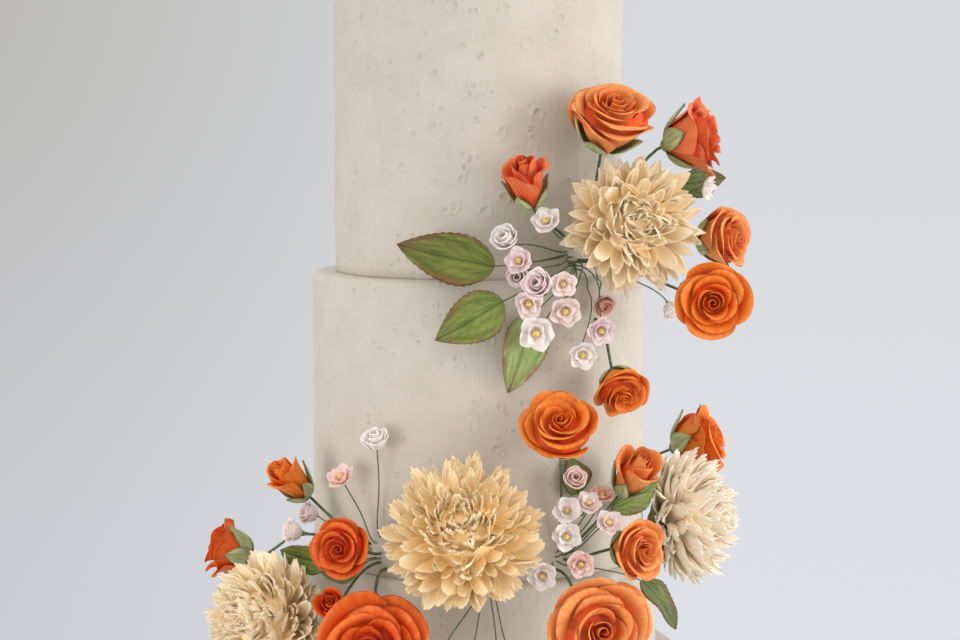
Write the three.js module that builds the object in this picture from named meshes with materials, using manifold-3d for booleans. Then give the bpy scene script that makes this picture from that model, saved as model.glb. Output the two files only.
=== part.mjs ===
// A four-tier wedding cake in ivory icing with clusters of sugar flowers at its right and
// along its front: roses, dahlias, leaves and small blossoms, all on wires that go into it.
// Millimetres, +Z up, the front facing -Y. The origin is the centre of the cake's underside.
import * as THREE from 'three';
import { mergeVertices } from 'three/addons/utils/BufferGeometryUtils.js';
import Module from 'manifold-3d';

const wasm = await Module();
wasm.setup();

// ---- The cake's tiers, from the bottom up: outer radius and the height of the top face.
const TIERS = [
  { name: 'tier_bottom', radius: 116.5, top: 150 },
  { name: 'tier_third', radius: 102, top: 208 },
  { name: 'tier_second', radius: 94, top: 367 },
  { name: 'tier_top', radius: 81, top: 532 },
];
const TIER_SIDES = 40;
const EDGE_ROUND = 5;          // rounding of a tier's top edge
const EDGE_STEPS = 2;
const GAP = 0.3;               // left between pieces that touch

// ---- Stems and wires: thickness of each, and the hubs where they go into the cake.
// A place on the cake is [degrees round from the front, height, reach from the axis].
const WIRE = 1.2;
const STEM = 2.6;
const STEM_SIDES = 5;
const WIRE_SIDES = 3;
const STEM_STEPS = 4;
const ROOT = 1;                // how deep a stem starts inside its flower
const LEDGE_ROOM = 6;          // how far off a ledge's edge the stems pass
const GATHER = 0.16;           // how wide a hub is, against the spread of its flowers
const HUBS = {
  upper: { around: 41, height: 379 },
  right: { around: 27, height: 216 },
  left: { around: -34, height: 218 },
  front: { around: 0, height: 216 },
};

// ---- The flowers. size is the diameter, turn and lift say where a flower faces, in degrees:
// turn 0 faces the front and 90 the right, lift 90 faces up. hub is where the stem goes in, or
// a place of its own. run is how far it goes straight back first, where its kind's doesn't fit.
const ROSES = [
  { name: 'rose_a', at: [38.5, 450.6, 110], turn: 12, lift: 42, size: 50, hub: 'upper', run: 10 },
  { name: 'rose_b', at: [58, 440, 133], turn: 78, lift: 12, size: 42, petals: 5, hub: 'upper' },
  { name: 'rose_c', at: [68, 387, 141], turn: 54, lift: 6, size: 37, petals: 5, hub: 'upper' },
  { name: 'rose_d', at: [47, 358, 163], turn: 4, lift: 4, size: 41, petals: 5, hub: 'upper', run: 16 },
  { name: 'rose_e', at: [39, 311, 118], turn: 18, lift: -30, size: 31, petals: 5, hub: [42, 345], run: 7 },
  { name: 'rose_f', at: [20, 292, 122], turn: -4, lift: 38, size: 43, hub: 'right', run: 10 },
  { name: 'rose_g', at: [118, 258, 149], turn: 76, lift: 20, size: 44, petals: 5, hub: [118, 246], run: 12 },
  { name: 'rose_h', at: [42, 225, 123], turn: 40, lift: 6, size: 35, petals: 5, hub: 'right', run: 8 },
  { name: 'rose_i', at: [24, 193.2, 149], turn: 14, lift: 6, size: 58, hub: 'right', run: 12 },
  { name: 'rose_j', at: [-21, 180.5, 145], turn: -4, lift: 16, size: 62, hub: 'left' },
  { name: 'rose_k', at: [-34, 229, 127], turn: -14, lift: 6, size: 33, petals: 5, hub: 'left', run: 8 },
  { name: 'rose_l', at: [-84, 209, 141], turn: -96, lift: 14, size: 36, petals: 5, hub: [-80, 218] },
];
const BUDS = [
  { name: 'bud_a', at: [14.7, 418.5, 99], turn: -18, lift: 54, size: 27, hub: 'upper', run: 6 },
  { name: 'bud_b', at: [43, 265, 121], turn: 30, lift: 44, size: 28, hub: 'right' },
  { name: 'bud_c', at: [-59, 256.5, 118], turn: -50, lift: 40, size: 25, hub: 'left' },
  { name: 'bud_d', at: [-35.5, 199, 131.5], turn: -8, lift: 24, size: 18, hub: 'left' },
];
const DAHLIAS = [
  { name: 'dahlia_a', at: [39.6, 397, 127], turn: 8, lift: 4, size: 78, hub: 'upper', run: 10 },
  { name: 'dahlia_b', at: [-3.6, 243, 129], turn: -2, lift: 34, size: 92, hub: 'front' },
  { name: 'dahlia_c', at: [96, 223, 127], turn: 70, lift: 10, size: 88, hub: [100, 218] },
  { name: 'dahlia_d', at: [-55, 185, 143], turn: -42, lift: 14, size: 82, hub: [-57, 184] },
];
// Open blossoms show a round heart, and shut ones are cups.
const OPEN_BLOSSOMS = [
  { at: [19.6, 399, 104], turn: -24, lift: 28, size: 18, hub: 'upper' },
  { at: [11.2, 378.5, 106], turn: -22, lift: 14, size: 17, hub: 'upper' },
  { at: [13.4, 356.4, 112], turn: 0, lift: -4, size: 17.5, hub: 'upper' },
  { at: [21, 366.8, 121.5], turn: 2, lift: 0, size: 15.5, hub: [27, 360] },
  { at: [23.4, 352, 114], turn: 4, lift: -6, size: 18.5, hub: 'upper' },
  { at: [15.4, 341, 113], turn: 2, lift: -8, size: 21, hub: 'upper' },
  { at: [32.2, 341.5, 120], turn: 14, lift: -8, size: 17.5, hub: 'upper' },
  { at: [28.8, 328.5, 113], turn: 8, lift: -10, size: 17, hub: 'upper' },
  { at: [60, 414.5, 141], turn: 64, lift: -14, size: 15.5, hub: 'upper' },
  { at: [-42.8, 262, 108], turn: -34, lift: 46, size: 18, hub: 'left' },
  { at: [36.8, 254, 109.4], turn: 20, lift: 56, size: 15, hub: 'right' },
  { at: [30.1, 251.4, 115], turn: 6, lift: 40, size: 15.5, hub: 'right' },
  { at: [23.5, 248.5, 116], turn: -6, lift: 24, size: 16.5, hub: 'right' },
  { at: [22, 236, 122], turn: 2, lift: 10, size: 17, hub: 'right' },
  { at: [34.6, 241, 121], turn: 18, lift: 24, size: 16, hub: 'right' },
  { at: [25, 221.5, 126], turn: 6, lift: 2, size: 16.5, hub: 'right' },
  { at: [15.7, 216, 122], turn: 0, lift: -4, size: 17.5, hub: 'right' },
];
const SHUT_BLOSSOMS = [
  { at: [8.4, 389.5, 97], turn: -30, lift: 30, size: 15.5, hub: 'upper' },
  { at: [12, 370, 98.4], turn: -10, lift: -6, size: 12.5, hub: 'upper' },
  { at: [14.7, 367.2, 121], turn: -26, lift: 20, size: 17, hub: [22, 359] },
  { at: [39.5, 353.5, 104], turn: 20, lift: -28, size: 13.5, hub: 'upper' },
  { at: [56.5, 349.6, 123.7], turn: 50, lift: -52, size: 13, hub: 'upper' },
  { at: [-31.4, 283, 104], turn: -20, lift: 62, size: 16, hub: 'left' },
  { at: [-56.5, 238.4, 110], turn: -56, lift: 20, size: 14, hub: 'left' },
  { at: [-55.5, 230, 121], turn: -64, lift: 8, size: 14, hub: 'left' },
  { at: [27.3, 263.5, 110], turn: 10, lift: 34, size: 13.5, hub: 'right' },
];
// The low spray: blossoms that hang from the front hub over the bottom tier's edge.
const SPRAY_HUB = [3, 212];
const SPRAY = [
  { at: [-9, 174, 128], turn: -12, lift: -24, size: 15 },
  { at: [-3.5, 160, 131], turn: -4, lift: -30, size: 13 },
  { at: [4.5, 170, 127], turn: 2, lift: -26, size: 16 },
  { at: [10, 158, 131], turn: 10, lift: -34, size: 12 },
];

// ---- Leaves: where the foot and the tip are, and the width across.
const LEAVES = [
  { name: 'leaf_a', foot: [5, 375, 100], tip: [-25, 386, 100], width: 28, hub: 'upper' },
  { name: 'leaf_b', foot: [7.2, 357.5, 104], tip: [-12, 337, 106], width: 27, hub: 'upper' },
  { name: 'leaf_c', foot: [16.5, 349, 98], tip: [9, 309, 100], width: 25, hub: 'upper' },
  { name: 'leaf_d', foot: [66, 416, 118], tip: [74, 419, 140], width: 17, hub: 'upper' },
  { name: 'leaf_e', foot: [33.8, 252.5, 95.3], tip: [30, 273.5, 95.3], width: 18, hub: [36, 240] },
  { name: 'leaf_f', foot: [44, 243, 103], tip: [64, 255, 110], width: 16, hub: 'right' },
  { name: 'leaf_g', foot: [-44, 215, 112], tip: [-63, 217, 121], width: 16, hub: 'left' },
  { name: 'leaf_h', foot: [-35, 212, 112], tip: [-45, 211, 118], width: 11, hub: 'left' },
  { name: 'leaf_i', foot: [51, 204, 113], tip: [55, 178, 130], width: 17, hub: 'right' },
];
const LEAF_THICK = 1;
const LEAF_LENGTHS = 4;
const LEAF_BROADEST = 0.75;    // under 1, the leaf is broadest nearer its foot
const LEAF_POINT = 0.4;        // half the width left at the foot and the tip
const LEAF_WAVE = 1.1;         // height of the waves along a leaf's edges
const LEAF_WAVES = 1.5;        // waves in a leaf's length
const LEAF_FOLD = 0.3;         // how far the halves fold up, against the half width
const LEAF_CURL = 0.08;        // how far the middle bows up, against the length
const LEAF_RUN = 6;            // how far a leaf's wire goes on straight from its foot

// ---- Colours.
const IVORY = 0xe9e4da;
const ORANGE = 0xe0733a;
const CORAL = 0xd9603f;
const CREAM = 0xf3dcb0;
const BLUSH = 0xeadfe0;
const GREEN = 0x7f9a58;

// ---- Outlines, from the back to the heart. A row is [radius, height, swing, rise, shift]:
// radius and height as shares of the flower's radius and depth, how far the petals' wave
// moves each of them, and how many steps the wave is shifted, so that petals alternate.
const ROSE_ROWS = [
  [0, 0, 0, 0, 0], [0.22, 0.03, 0, 0, 0], [0.58, 0.28, 0.18, 0.14, 0], [0.6, 0.36, 0, 0, 0],
  [0.87, 0.58, 0.06, 0, 0], [0.94, 0.7, 0.06, 0.05, 0], [0.68, 0.56, 0.02, 0, 0],
  [0.62, 0.9, 0.05, 0.02, 2], [0.42, 0.7, 0, 0, 0], [0.28, 0.99, 0.04, 0.01, 1],
  [0, 0.82, 0, 0, 0],
];
const BUD_ROWS = [
  [0, 0, 0, 0, 0], [0.3, 0.04, 0, 0, 0], [0.74, 0.3, 0.2, 0.14, 0], [0.74, 0.36, 0, 0, 0],
  [0.94, 0.62, 0.06, 0, 0], [0.78, 0.88, 0.12, 0.04, 0], [0.5, 0.74, 0, 0, 0],
  [0.3, 0.98, 0.05, 0.01, 2], [0, 0.84, 0, 0, 0],
];
const DAHLIA_ROWS = [
  [0, 0, 0, 0, 0], [0.9, 0.26, 0.09, 0.05, 0], [0.62, 0.27, 0, 0, 0], [0.84, 0.58, 0.08, 0.07, 1],
  [0.5, 0.42, 0, 0, 0], [0.6, 0.82, 0.08, 0.07, 0], [0.3, 0.64, 0, 0, 0],
  [0.28, 0.93, 0.07, 0.04, 1], [0, 0.82, 0, 0, 0],
];
const OPEN_ROWS = [
  [0, 0, 0, 0, 0], [0.88, 0.62, 0.12, 0.1, 0], [0.34, 0.5, 0, 0, 0], [0, 0.72, 0, 0, 0],
];
const SHUT_ROWS = [
  [0, 0, 0, 0, 0], [0.8, 0.42, 0.06, 0, 0], [0.74, 0.9, 0.16, 0.1, 0], [0, 0.6, 0, 0, 0],
];
// The wave along a ring of petals: rounded petals that overlap, pointed ones, and lobes.
const OVERLAP = [-1, 0.6, 1];
const POINTED = [1, -1];
const LOBED = [-1, 1, 1];

const KINDS = {
  rose: { rows: ROSE_ROWS, petals: 6, wave: OVERLAP, depth: 0.72, color: ORANGE, stem: STEM, run: 14 },
  bud: { rows: BUD_ROWS, petals: 4, wave: OVERLAP, depth: 1.2, color: CORAL, stem: STEM, run: 8 },
  dahlia: { rows: DAHLIA_ROWS, petals: 16, wave: POINTED, depth: 0.58, color: CREAM, stem: STEM, run: 4 },
  open: { rows: OPEN_ROWS, petals: 5, wave: LOBED, depth: 0.5, color: BLUSH, stem: WIRE, run: 4 },
  shut: { rows: SHUT_ROWS, petals: 4, wave: LOBED, depth: 0.75, color: BLUSH, stem: WIRE, run: 4 },
};
const UNEVEN = 0.05;           // how much the petals of one ring differ in reach

const UP = new THREE.Vector3(0, 0, 1);

// ---- Places and directions.
function place([around, height, reach]) {
  const angle = THREE.MathUtils.degToRad(around);
  return new THREE.Vector3(reach * Math.sin(angle), -reach * Math.cos(angle), height);
}

function direction(turn, lift) {
  const level = Math.cos(THREE.MathUtils.degToRad(lift));
  return place([turn, Math.sin(THREE.MathUtils.degToRad(lift)), level]);
}

// Where a stem goes in: the hub's own place, moved a little towards the flower, so that
// the stems of one hub fan out and never cross. A list is a place that one stem has alone.
function entry(hub, at) {
  if (Array.isArray(hub)) {
    return hub;
  }
  const { around, height } = HUBS[hub];
  return [around + GATHER * (at[0] - around), height + GATHER * (at[1] - height)];
}

// ---- Solids.
function solid(geometry) {
  const bare = new THREE.BufferGeometry();
  bare.setAttribute('position', geometry.attributes.position);
  bare.setIndex(geometry.index);
  const merged = mergeVertices(bare, 1e-3);
  const corners = merged.index.array;
  const kept = [];
  for (let i = 0; i < corners.length; i += 3) {
    const [a, b, c] = corners.slice(i, i + 3);
    if (a !== b && b !== c && c !== a) {
      kept.push(a, b, c);
    }
  }
  const vertProperties = new Float32Array(merged.attributes.position.array);
  return new wasm.Manifold(new wasm.Mesh({
    numProp: 3, vertProperties, triVerts: new Uint32Array(kept),
  }));
}

function geometryOf(body) {
  const { vertProperties, triVerts } = body.getMesh();
  const geometry = new THREE.BufferGeometry();
  geometry.setAttribute('position', new THREE.BufferAttribute(vertProperties, 3));
  geometry.setIndex(new THREE.BufferAttribute(triVerts, 1));
  geometry.computeVertexNormals();
  return geometry;
}

function sugarMesh(name, geometry, color, roughness) {
  const material = new THREE.MeshStandardMaterial({ color, roughness, metalness: 0 });
  const mesh = new THREE.Mesh(geometry, material);
  mesh.name = name;
  return mesh;
}

// Small steady differences from a seed.
function unevenness(seed) {
  let state = seed;
  return () => {
    state = (state * 16807) % 2147483647;
    return 2 * (state / 2147483647) - 1;
  };
}

// ---- A tier: a plain round with a softly rounded top edge.
function tierGeometry(radius, height) {
  const outline = [new THREE.Vector2(0, 0), new THREE.Vector2(radius, 0)];
  for (let step = 0; step <= EDGE_STEPS; step++) {
    const angle = (Math.PI / 2) * (step / EDGE_STEPS);
    outline.push(new THREE.Vector2(
      radius - EDGE_ROUND * (1 - Math.cos(angle)),
      height - EDGE_ROUND * (1 - Math.sin(angle)),
    ));
  }
  outline.push(new THREE.Vector2(0, height));
  const geometry = new THREE.LatheGeometry(outline, TIER_SIDES);
  geometry.rotateX(Math.PI / 2);
  return geometryOf(solid(geometry));
}

function makeTier({ name, radius, top }, index) {
  const foot = index === 0 ? 0 : TIERS[index - 1].top + GAP;
  const mesh = sugarMesh(name, tierGeometry(radius, top - foot), IVORY, 0.75);
  mesh.position.z = foot;
  return mesh;
}

// ---- A flower's body: a lathed outline whose rings follow the petals' wave.
function petalRings(rows, petals, wave, radius, depth, seed) {
  const steps = petals * wave.length;
  const outline = rows.map(([out, high]) => new THREE.Vector2(out * radius, high * depth));
  const geometry = new THREE.LatheGeometry(outline, steps);
  const position = geometry.attributes.position;
  const uneven = unevenness(seed);
  rows.forEach(([out, high, swing, rise, shift], row) => {
    const reach = Array.from({ length: petals }, () => 1 + (swing > 0.05 ? UNEVEN * uneven() : 0));
    for (let step = 0; step <= steps; step++) {
      const turn = (step % steps) + shift;
      const petal = Math.floor(turn / wave.length) % petals;
      const swell = wave[turn % wave.length];
      const scale = out > 0 ? (reach[petal] * (out + swing * swell)) / out : 0;
      const vertex = step * rows.length + row;
      position.setX(vertex, position.getX(vertex) * scale);
      position.setZ(vertex, position.getZ(vertex) * scale);
      position.setY(vertex, (high + rise * swell - 0.5) * depth);
    }
  });
  geometry.rotateX(Math.PI / 2);
  return solid(geometry);
}

function tube(curve, thickness, sides, steps) {
  const corners = Array.from({ length: sides }, (_, k) => {
    const angle = (2 * Math.PI * k) / sides;
    return new THREE.Vector2(0.5 * thickness * Math.cos(angle), 0.5 * thickness * Math.sin(angle));
  });
  const section = new THREE.Shape(corners);
  return new THREE.ExtrudeGeometry(section, { steps, extrudePath: curve, bevelEnabled: false });
}

// The route of a stem in the cake's frame, from inside the flower's back to the wall.
// The stem of a flower that hangs lower than the ledge under its hub goes round the ledge.
function stemRoute(start, back, run, hub, at) {
  const [around, height] = entry(hub, at);
  const tier = TIERS.findIndex(({ top }) => height < top);
  const wall = TIERS[tier].radius + GAP;
  const bend = [around, height, wall + run];
  if (tier > 0 && at[1] < TIERS[tier - 1].top + LEDGE_ROOM) {
    bend[1] += LEDGE_ROOM / 2;
    bend[2] = TIERS[tier - 1].radius + 2 * LEDGE_ROOM;
  }
  const straight = start.clone().addScaledVector(back, run);
  return [start, straight, place(bend), place([around, height, wall])];
}

function flowerStem(flower, depth, run, thickness, frame) {
  const { turn, lift, hub, at } = flower;
  const back = direction(turn, lift).negate();
  const start = place(at).addScaledVector(back, depth / 2 - ROOT);
  const route = stemRoute(start, back, run + ROOT, hub, at);
  const inside = route.map((point) => point.applyMatrix4(frame));
  const curve = new THREE.CubicBezierCurve3(...inside);
  const sides = thickness > WIRE ? STEM_SIDES : WIRE_SIDES;
  return solid(tube(curve, thickness, sides, STEM_STEPS));
}

// The matrix that takes the flower's own frame to the cake's, +Z being where it faces.
function flowerFrame({ at, turn, lift }) {
  const spin = new THREE.Quaternion().setFromUnitVectors(UP, direction(turn, lift));
  return new THREE.Matrix4().compose(place(at), spin, new THREE.Vector3(1, 1, 1));
}

function flowerSolid(flower, kind, seed) {
  const { rows, petals, wave, depth: share, stem, run } = KINDS[kind];
  const depth = flower.size * share;
  const inverse = flowerFrame(flower).invert();
  const body = petalRings(rows, flower.petals ?? petals, wave, flower.size / 2, depth, seed);
  return body.add(flowerStem(flower, depth, flower.run ?? run, stem, inverse));
}

function makeFlower(name, flower, kind, seed) {
  const mesh = sugarMesh(name, geometryOf(flowerSolid(flower, kind, seed)), KINDS[kind].color, 0.8);
  flowerFrame(flower).decompose(mesh.position, mesh.quaternion, mesh.scale);
  return mesh;
}

// ---- The low spray is one piece: its wires meet in the hub.
function makeSpray() {
  const parts = SPRAY.map((blossom, index) => {
    const flower = { ...blossom, hub: SPRAY_HUB };
    return flowerSolid(flower, 'open', 900 + index).transform(flowerFrame(flower).elements);
  });
  return sugarMesh('blossom_spray', geometryOf(wasm.Manifold.union(parts)), BLUSH, 0.8);
}

// ---- A leaf: two sheets with the same triangles, and a strip round the edge.
function leafPoint(along, across, length, width) {
  const swell = Math.sin(Math.PI * Math.pow(along, LEAF_BROADEST));
  const half = Math.max(0.5 * width * swell, LEAF_POINT);
  const fold = LEAF_FOLD * half * Math.abs(across);
  const wave = LEAF_WAVE * across * Math.sin(2 * Math.PI * LEAF_WAVES * along);
  const curl = LEAF_CURL * length * Math.sin(Math.PI * along);
  return [length * along, half * across, fold + wave + curl];
}

function leafSheet(length, width, lower) {
  const sheet = new THREE.PlaneGeometry(1, 2, LEAF_LENGTHS, 2);
  const position = sheet.attributes.position;
  for (let i = 0; i < position.count; i++) {
    const point = leafPoint(position.getX(i) + 0.5, position.getY(i), length, width);
    position.setXYZ(i, point[0], point[1], point[2] - lower);
  }
  return sheet;
}

function leafSolid(length, width) {
  const top = leafSheet(length, width, 0);
  const under = leafSheet(length, width, LEAF_THICK);
  const count = top.attributes.position.count;
  const columns = LEAF_LENGTHS + 1;
  const corners = [...top.index.array];
  for (let i = 0; i < under.index.count; i += 3) {
    const [a, b, c] = under.index.array.slice(i, i + 3);
    corners.push(a + count, c + count, b + count);
  }
  const edge = [];
  for (let k = 0; k < columns - 1; k++) {
    edge.push(k);
  }
  edge.push(columns - 1, 2 * columns - 1);
  for (let k = columns - 1; k > 0; k--) {
    edge.push(2 * columns + k);
  }
  edge.push(2 * columns, columns);
  edge.forEach((a, k) => {
    const b = edge[(k + 1) % edge.length];
    corners.push(a, b, b + count, a, b + count, a + count);
  });
  const geometry = new THREE.BufferGeometry();
  const points = [...top.attributes.position.array, ...under.attributes.position.array];
  geometry.setAttribute('position', new THREE.Float32BufferAttribute(points, 3));
  geometry.setIndex(corners);
  return solid(geometry);
}

function leafFrame(foot, tip) {
  const along = tip.clone().sub(foot).normalize();
  const middle = foot.clone().add(tip);
  const outward = new THREE.Vector3(middle.x, middle.y, 0).normalize();
  const across = new THREE.Vector3().crossVectors(outward, along).normalize();
  const face = new THREE.Vector3().crossVectors(along, across);
  return new THREE.Matrix4().makeBasis(along, across, face).setPosition(foot);
}

function makeLeaf({ name, foot, tip, width, hub }) {
  const start = place(foot);
  const end = place(tip);
  const frame = leafFrame(start, end);
  const length = start.distanceTo(end);
  const back = start.clone().sub(end).normalize();
  const route = stemRoute(start.clone().addScaledVector(back, -2 * ROOT), back, LEAF_RUN, hub, foot);
  const inverse = frame.clone().invert();
  const curve = new THREE.CubicBezierCurve3(...route.map((point) => point.applyMatrix4(inverse)));
  const body = leafSolid(length, width).add(solid(tube(curve, WIRE, WIRE_SIDES, STEM_STEPS)));
  const mesh = sugarMesh(name, geometryOf(body), GREEN, 0.7);
  frame.decompose(mesh.position, mesh.quaternion, mesh.scale);
  return mesh;
}

// ---- The whole cake.
const group = new THREE.Group();
group.name = 'wedding_cake';
TIERS.forEach((tier, index) => group.add(makeTier(tier, index)));
ROSES.forEach((rose, index) => group.add(makeFlower(rose.name, rose, 'rose', 11 + index)));
BUDS.forEach((bud, index) => group.add(makeFlower(bud.name, bud, 'bud', 101 + index)));
DAHLIAS.forEach((dahlia, index) => group.add(makeFlower(dahlia.name, dahlia, 'dahlia', 201 + index)));
OPEN_BLOSSOMS.forEach((blossom, index) => {
  group.add(makeFlower(`blossom_open_${index + 1}`, blossom, 'open', 301 + index));
});
SHUT_BLOSSOMS.forEach((blossom, index) => {
  group.add(makeFlower(`blossom_shut_${index + 1}`, blossom, 'shut', 401 + index));
});
group.add(makeSpray());
LEAVES.forEach((leaf) => group.add(makeLeaf(leaf)));

export default group;
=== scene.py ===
"""The looks of a four-tier wedding cake: ivory icing with pits and raised rings, and clusters
of wired sugar roses, dahlias, small blossoms and leaves at its right and along its front.

The frame is the solids' own: metres, +Z up, the front facing -Y. Flowers are worked out in
millimetres, each along its own +Z, and put at true size in their place as they are finished.
"""
import random
from collections import namedtuple
from math import atan2, cos, exp, pi, radians, sin, sqrt, tau

import bmesh
import bpy
import numpy as np
from mathutils import Matrix, Vector


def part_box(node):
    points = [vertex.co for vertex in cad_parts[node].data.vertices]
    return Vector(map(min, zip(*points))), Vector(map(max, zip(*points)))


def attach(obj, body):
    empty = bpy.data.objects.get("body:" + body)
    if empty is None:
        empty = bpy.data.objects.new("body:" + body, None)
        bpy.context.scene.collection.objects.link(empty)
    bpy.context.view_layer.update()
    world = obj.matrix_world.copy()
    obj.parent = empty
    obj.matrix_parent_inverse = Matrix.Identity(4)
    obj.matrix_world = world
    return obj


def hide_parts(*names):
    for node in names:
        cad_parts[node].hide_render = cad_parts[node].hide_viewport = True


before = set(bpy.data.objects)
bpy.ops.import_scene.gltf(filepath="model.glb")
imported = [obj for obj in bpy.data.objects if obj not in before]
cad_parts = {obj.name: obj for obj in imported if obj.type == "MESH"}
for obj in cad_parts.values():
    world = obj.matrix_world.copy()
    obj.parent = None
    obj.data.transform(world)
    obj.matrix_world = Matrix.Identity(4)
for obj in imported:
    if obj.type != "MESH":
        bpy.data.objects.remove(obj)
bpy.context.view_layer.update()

MM = 0.001
UP = Vector((0, 0, 1))

# ---- Tiers, from the bottom up. Their radius and height come from the frame.
TIERS = ("tier_bottom", "tier_third", "tier_second", "tier_top")
EDGE_ROUND = 4.0          # rounding of a tier's top edge
RELIEF = 0.8              # the most that the icing stands proud
CELL = {"tier_bottom": 1.5, "tier_third": 1.5, "tier_second": 1.15, "tier_top": 1.05}
FRONT_SHARE = 0.4         # how much closer the icing's cells are at the front
CREVICE = 0.1             # how far a tier sinks into the icing under it

# ---- Stems and wires. A place is (degrees round from the front, height, reach from the axis).
STEM = 1.6                # how thick they are
WIRE = 0.75
SWAY = 1.2                # how far a thin wire wanders from its curve
LEDGE_ROOM = 6            # how far a stem keeps off the edge of the tier below
GAP = 0.3                 # the wall that stems are reckoned from is this far outside the tier's
GATHER = 0.16             # how much nearer to its flower than the hub a stem ends
# Where the stems of each cluster meet the icing: degrees round and height.
HUBS = {"upper": (41, 379), "right": (27, 216), "left": (-34, 218), "front": (0, 216)}

# ---- Flowers. at is a flower's middle, turn and lift say where it faces, and size is its
# diameter. hub is where its stem ends, by name or place, and run how far the stem first goes
# straight back. form is the kind of rose or dahlia, and look its tints. tilt is how much higher
# the petals stand at the side that hangs down.
Flower = namedtuple("Flower", "name at turn lift size hub run form look tilt", defaults=("", "", 0))
ROSES = (
    Flower("rose_a", (38.5, 450.6, 110), 12, 42, 50, "upper", 10, "open", "peach", 0.3),
    Flower("rose_b", (58, 440, 133), 78, 12, 42, "upper", 14, "cup", "coral"),
    Flower("rose_c", (68, 387, 141), 54, 6, 37, "upper", 14, "cup", "peach"),
    Flower("rose_d", (47, 358, 163), 4, 4, 41, "upper", 16, "cup", "orange"),
    Flower("rose_e", (39, 311, 118), 18, -30, 31, (42, 345), 7, "cup", "orange"),
    Flower("rose_f", (20, 292, 122), -4, 38, 43, "right", 10, "open", "orange", 0.16),
    Flower("rose_g", (118, 258, 149), 76, 20, 44, (118, 246), 12, "cup", "orange"),
    Flower("rose_h", (42, 225, 123), 40, 6, 35, "right", 8, "cup", "peach"),
    Flower("rose_i", (24, 193.2, 149), 14, 6, 58, "right", 12, "open", "peach"),
    Flower("rose_j", (-21, 180.5, 145), -4, 16, 62, "left", 14, "open", "deep", 0.04),
    Flower("rose_k", (-34, 229, 127), -14, 6, 33, "left", 8, "cup", "deep"),
    Flower("rose_l", (-84, 209, 141), -96, 14, 36, (-80, 218), 14, "cup", "deep"),
    Flower("bud_a", (14.7, 418.5, 99), -18, 54, 27, "upper", 6, "bud", "coral", 0.1),
    Flower("bud_b", (43, 265, 121), 30, 44, 28, "right", 8, "bud", "peach"),
    Flower("bud_c", (-59, 256.5, 118), -50, 40, 25, "left", 8, "bud", "orange"),
    Flower("bud_d", (-35.5, 199, 131.5), -8, 24, 18, "left", 8, "bud", "deep"),
)
DAHLIAS = (
    Flower("dahlia_a", (39.6, 397, 127), 8, 4, 78, "upper", 10, "pointed", "light"),
    Flower("dahlia_b", (-3.6, 243, 129), -2, 34, 92, "front", 4, "toothed", "cream"),
    Flower("dahlia_c", (96, 223, 127), 70, 10, 88, (100, 218), 4, "full", "pale"),
    Flower("dahlia_d", (-55, 185, 143), -42, 14, 82, (-57, 184), 4, "full", "light"),
)
BLOSSOM_RUN = 4
# Small blossoms: at, turn, lift, size, hub and look.
OPEN_BLOSSOMS = (
    ((19.6, 399, 104), -24, 28, 18, "upper", "white"),
    ((11.2, 378.5, 106), -22, 14, 17, "upper", "lilac"),
    ((13.4, 356.4, 112), 0, -4, 17.5, "upper", "blush"),
    ((21, 366.8, 121.5), 2, 0, 15.5, (27, 360), "blush"),
    ((23.4, 352, 114), 4, -6, 18.5, "upper", "blush"),
    ((15.4, 341, 113), 2, -8, 21, "upper", "white"),
    ((32.2, 341.5, 120), 14, -8, 17.5, "upper", "lilac"),
    ((28.8, 328.5, 113), 8, -10, 17, "upper", "white"),
    ((60, 414.5, 141), 64, -14, 15.5, "upper", "white"),
    ((-42.8, 262, 108), -34, 46, 18, "left", "pink"),
    ((36.8, 254, 109.4), 20, 56, 15, "right", "coral"),
    ((30.1, 251.4, 115), 6, 40, 15.5, "right", "blush"),
    ((23.5, 248.5, 116), -6, 24, 16.5, "right", "white"),
    ((22, 236, 122), 2, 10, 17, "right", "white"),
    ((34.6, 241, 121), 18, 24, 16, "right", "blush"),
    ((25, 221.5, 126), 6, 2, 16.5, "right", "pink"),
    ((15.7, 216, 122), 0, -4, 17.5, "right", "white"),
)
SHUT_BLOSSOMS = (
    ((8.4, 389.5, 97), -30, 30, 15.5, "upper", "white"),
    ((12, 370, 98.4), -10, -6, 12.5, "upper", "lilac"),
    ((14.7, 367.2, 121), -26, 20, 17, (22, 359), "lilac"),
    ((39.5, 353.5, 104), 20, -28, 13.5, "upper", "coral"),
    ((56.5, 349.6, 123.7), 50, -52, 13, "upper", "white"),
    ((-31.4, 283, 104), -20, 62, 16, "left", "white"),
    ((-56.5, 238.4, 110), -56, 20, 14, "left", "lilac"),
    ((-55.5, 230, 121), -64, 8, 14, "left", "blush"),
    ((27.3, 263.5, 110), 10, 34, 13.5, "right", "pink"),
)
SPRAY_HUB = (3, 212)
SPRAY = (
    ((-9, 174, 128), -12, -24, 15, SPRAY_HUB, "white"),
    ((-3.5, 160, 131), -4, -30, 13, SPRAY_HUB, "blush"),
    ((4.5, 170, 127), 2, -26, 16, SPRAY_HUB, "white"),
    ((10, 158, 131), 10, -34, 12, SPRAY_HUB, "blush"),
)

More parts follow.
